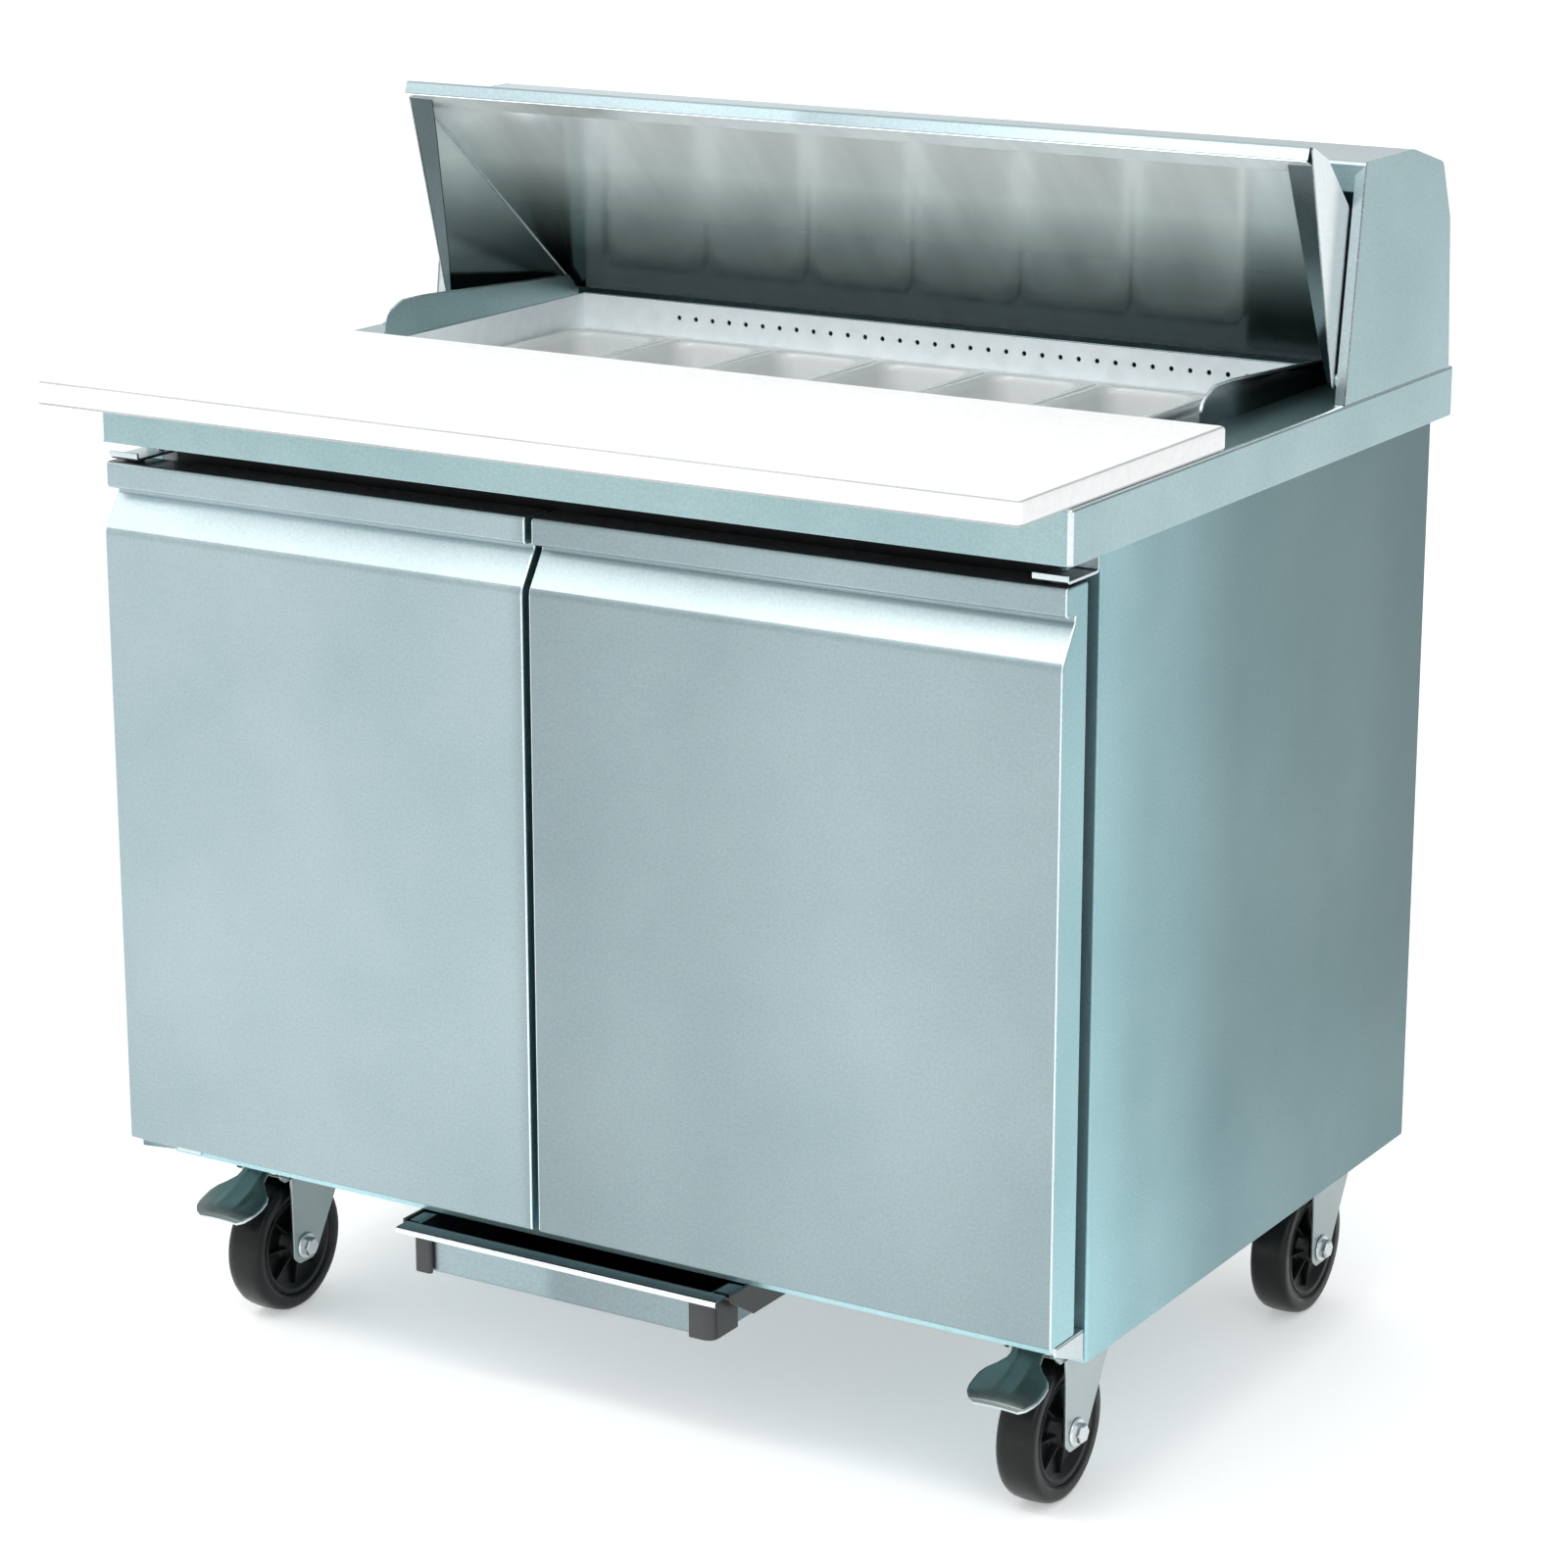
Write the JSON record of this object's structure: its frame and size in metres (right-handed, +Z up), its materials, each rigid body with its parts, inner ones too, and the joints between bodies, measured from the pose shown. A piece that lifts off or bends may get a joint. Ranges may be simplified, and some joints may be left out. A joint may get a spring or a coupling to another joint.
{
  "type": "sandwich prep table",
  "caption": "Refrigerated stainless food-preparation counter on casters, with cutting board, pan well, fold-back lid and hinged doors.",
  "frame": {"origin": "on the floor, below the middle of the overall box", "axes": "+X to the right seen from the front, -Y to the front where the doors are, +Z up"},
  "size_m": [0.92, 0.785, 1.068],
  "materials": {
    "stainless": "brushed, satin",
    "mirror_steel": "polished",
    "liner_sheet": "coated, satin",
    "liner_plastic": "satin",
    "foam": "rigid foam, matt",
    "board_plastic": "matt",
    "gasket_rubber": "matt",
    "coated_wire": "coated, satin",
    "black_parts": "satin",
    "coil_aluminium": "satin",
    "clear_plastic": "clear",
    "tread_rubber": "matt",
    "hub_plastic": "satin",
    "zinc": "zinc plated"
  },
  "bodies": {
    "cabinet": {"side_panel_left": "stainless", "side_panel_right": "stainless", "back_panel": "stainless", "base_plate": "stainless", "front_frame": "liner_plastic", "cabinet_liner": "liner_sheet", "insulation": "foam", "insulation_walls": "foam", "worktop": "stainless", "well_frame": "stainless", "pan_bar": "stainless", "filler_plate": "stainless", "hood": "stainless", "hinge_brackets": "stainless", "shelf_posts": "coated_wire", "shelf_left": "coated_wire", "shelf_right": "coated_wire", "tray_runners": "black_parts", "compressor": "black_parts", "condenser": "coil_aluminium", "evaporator": "coil_aluminium", "caster_fl_mount": "zinc", "caster_fr_mount": "zinc", "caster_rl_mount": "zinc", "caster_rr_mount": "zinc"},
    "door_left": {"door_left_shell": "stainless", "door_left_core": "liner_plastic", "door_left_gasket": "gasket_rubber"},
    "door_right": {"door_right_shell": "stainless", "door_right_core": "liner_plastic", "door_right_gasket": "gasket_rubber"},
    "lid": {"lid_panel": "stainless", "lid_liner": "mirror_steel", "lid_gussets": "stainless"},
    "board": {"cutting_board": "board_plastic"},
    "tray": {"condensate_tray": "stainless"},
    "fan": {"condenser_fan": "black_parts"},
    "knob": {"thermostat_knob": "black_parts"},
    "rear_pan_1": {"pan_rear_1": "clear_plastic"},
    "rear_pan_2": {"pan_rear_2": "clear_plastic"},
    "rear_pan_3": {"pan_rear_3": "clear_plastic"},
    "rear_pan_4": {"pan_rear_4": "clear_plastic"},
    "rear_pan_5": {"pan_rear_5": "clear_plastic"},
    "rear_pan_6": {"pan_rear_6": "clear_plastic"},
    "front_pan_1": {"pan_front_1": "clear_plastic"},
    "front_pan_2": {"pan_front_2": "clear_plastic"},
    "swivel_fl": {"caster_fl_fork": "zinc"},
    "wheel_fl": {"caster_fl_tyre": "tread_rubber", "caster_fl_hub": "hub_plastic"},
    "pedal_fl": {"caster_fl_pedal": "zinc"},
    "swivel_fr": {"caster_fr_fork": "zinc"},
    "wheel_fr": {"caster_fr_tyre": "tread_rubber", "caster_fr_hub": "hub_plastic"},
    "pedal_fr": {"caster_fr_pedal": "zinc"},
    "swivel_rl": {"caster_rl_fork": "zinc"},
    "wheel_rl": {"caster_rl_tyre": "tread_rubber", "caster_rl_hub": "hub_plastic"},
    "swivel_rr": {"caster_rr_fork": "zinc"},
    "wheel_rr": {"caster_rr_tyre": "tread_rubber", "caster_rr_hub": "hub_plastic"}
  },
  "joints": [
    {"name": "door_left_hinge", "type": "hinge", "parent": "cabinet", "child": "door_left", "pos_m": [-0.441, -0.2925, 0.49], "axis": [0, 0, -1], "range_deg": [0, 100]},
    {"name": "door_right_hinge", "type": "hinge", "parent": "cabinet", "child": "door_right", "pos_m": [0.441, -0.2925, 0.49], "axis": [0, 0, 1], "range_deg": [0, 100]},
    {"name": "lid_hinge", "type": "hinge", "parent": "cabinet", "child": "lid", "pos_m": [0, 0.1815, 0.868], "axis": [1, 0, 0], "range_deg": [0, 72]},
    {"name": "board_lift", "type": "slide", "parent": "cabinet", "child": "board", "axis": [0, 0, 1], "range_m": [0, 0.05]},
    {"name": "tray_slide", "type": "slide", "parent": "cabinet", "child": "tray", "axis": [0, -1, 0], "range_m": [0, 0.15]},
    {"name": "fan_spin", "type": "hinge", "parent": "cabinet", "child": "fan", "pos_m": [-0.099, 0.2275, 0.255], "axis": [0, 1, 0], "continuous": true},
    {"name": "knob_turn", "type": "hinge", "parent": "cabinet", "child": "knob", "pos_m": [0.33, 0.3555, 0.3], "axis": [0, 1, 0], "range_deg": [0, 270]},
    {"name": "rear_pan_1_lift", "type": "slide", "parent": "cabinet", "child": "rear_pan_1", "axis": [0, 0, 1], "range_m": [0, 0.025]},
    {"name": "rear_pan_2_lift", "type": "slide", "parent": "cabinet", "child": "rear_pan_2", "axis": [0, 0, 1], "range_m": [0, 0.025]},
    {"name": "rear_pan_3_lift", "type": "slide", "parent": "cabinet", "child": "rear_pan_3", "axis": [0, 0, 1], "range_m": [0, 0.025]},
    {"name": "rear_pan_4_lift", "type": "slide", "parent": "cabinet", "child": "rear_pan_4", "axis": [0, 0, 1], "range_m": [0, 0.025]},
    {"name": "rear_pan_5_lift", "type": "slide", "parent": "cabinet", "child": "rear_pan_5", "axis": [0, 0, 1], "range_m": [0, 0.025]},
    {"name": "rear_pan_6_lift", "type": "slide", "parent": "cabinet", "child": "rear_pan_6", "axis": [0, 0, 1], "range_m": [0, 0.025]},
    {"name": "front_pan_1_lift", "type": "slide", "parent": "cabinet", "child": "front_pan_1", "axis": [0, 0, 1], "range_m": [0, 0.025]},
    {"name": "front_pan_2_lift", "type": "slide", "parent": "cabinet", "child": "front_pan_2", "axis": [0, 0, 1], "range_m": [0, 0.025]},
    {"name": "swivel_fl_turn", "type": "hinge", "parent": "cabinet", "child": "swivel_fl", "pos_m": [-0.39, -0.1625, 0.14], "axis": [0, 0, 1], "continuous": true},
    {"name": "wheel_fl_roll", "type": "hinge", "parent": "swivel_fl", "child": "wheel_fl", "pos_m": [-0.39, -0.1905, 0.0625], "axis": [1, 0, 0], "continuous": true},
    {"name": "pedal_fl_press", "type": "hinge", "parent": "swivel_fl", "child": "pedal_fl", "pos_m": [-0.39, -0.2135, 0.1386], "axis": [1, 0, 0], "range_deg": [0, 12], "stiffness_Nm_per_rad": 0.6, "springref_deg": -20.05},
    {"name": "swivel_fr_turn", "type": "hinge", "parent": "cabinet", "child": "swivel_fr", "pos_m": [0.39, -0.1625, 0.14], "axis": [0, 0, 1], "continuous": true},
    {"name": "wheel_fr_roll", "type": "hinge", "parent": "swivel_fr", "child": "wheel_fr", "pos_m": [0.39, -0.1905, 0.0625], "axis": [1, 0, 0], "continuous": true},
    {"name": "pedal_fr_press", "type": "hinge", "parent": "swivel_fr", "child": "pedal_fr", "pos_m": [0.39, -0.2135, 0.1386], "axis": [1, 0, 0], "range_deg": [0, 12], "stiffness_Nm_per_rad": 0.6, "springref_deg": -20.05},
    {"name": "swivel_rl_turn", "type": "hinge", "parent": "cabinet", "child": "swivel_rl", "pos_m": [-0.39, 0.3075, 0.14], "axis": [0, 0, 1], "continuous": true},
    {"name": "wheel_rl_roll", "type": "hinge", "parent": "swivel_rl", "child": "wheel_rl", "pos_m": [-0.39, 0.2795, 0.0625], "axis": [1, 0, 0], "continuous": true},
    {"name": "swivel_rr_turn", "type": "hinge", "parent": "cabinet", "child": "swivel_rr", "pos_m": [0.39, 0.3075, 0.14], "axis": [0, 0, 1], "continuous": true},
    {"name": "wheel_rr_roll", "type": "hinge", "parent": "swivel_rr", "child": "wheel_rr", "pos_m": [0.39, 0.2795, 0.0625], "axis": [1, 0, 0], "continuous": true}
  ]
}
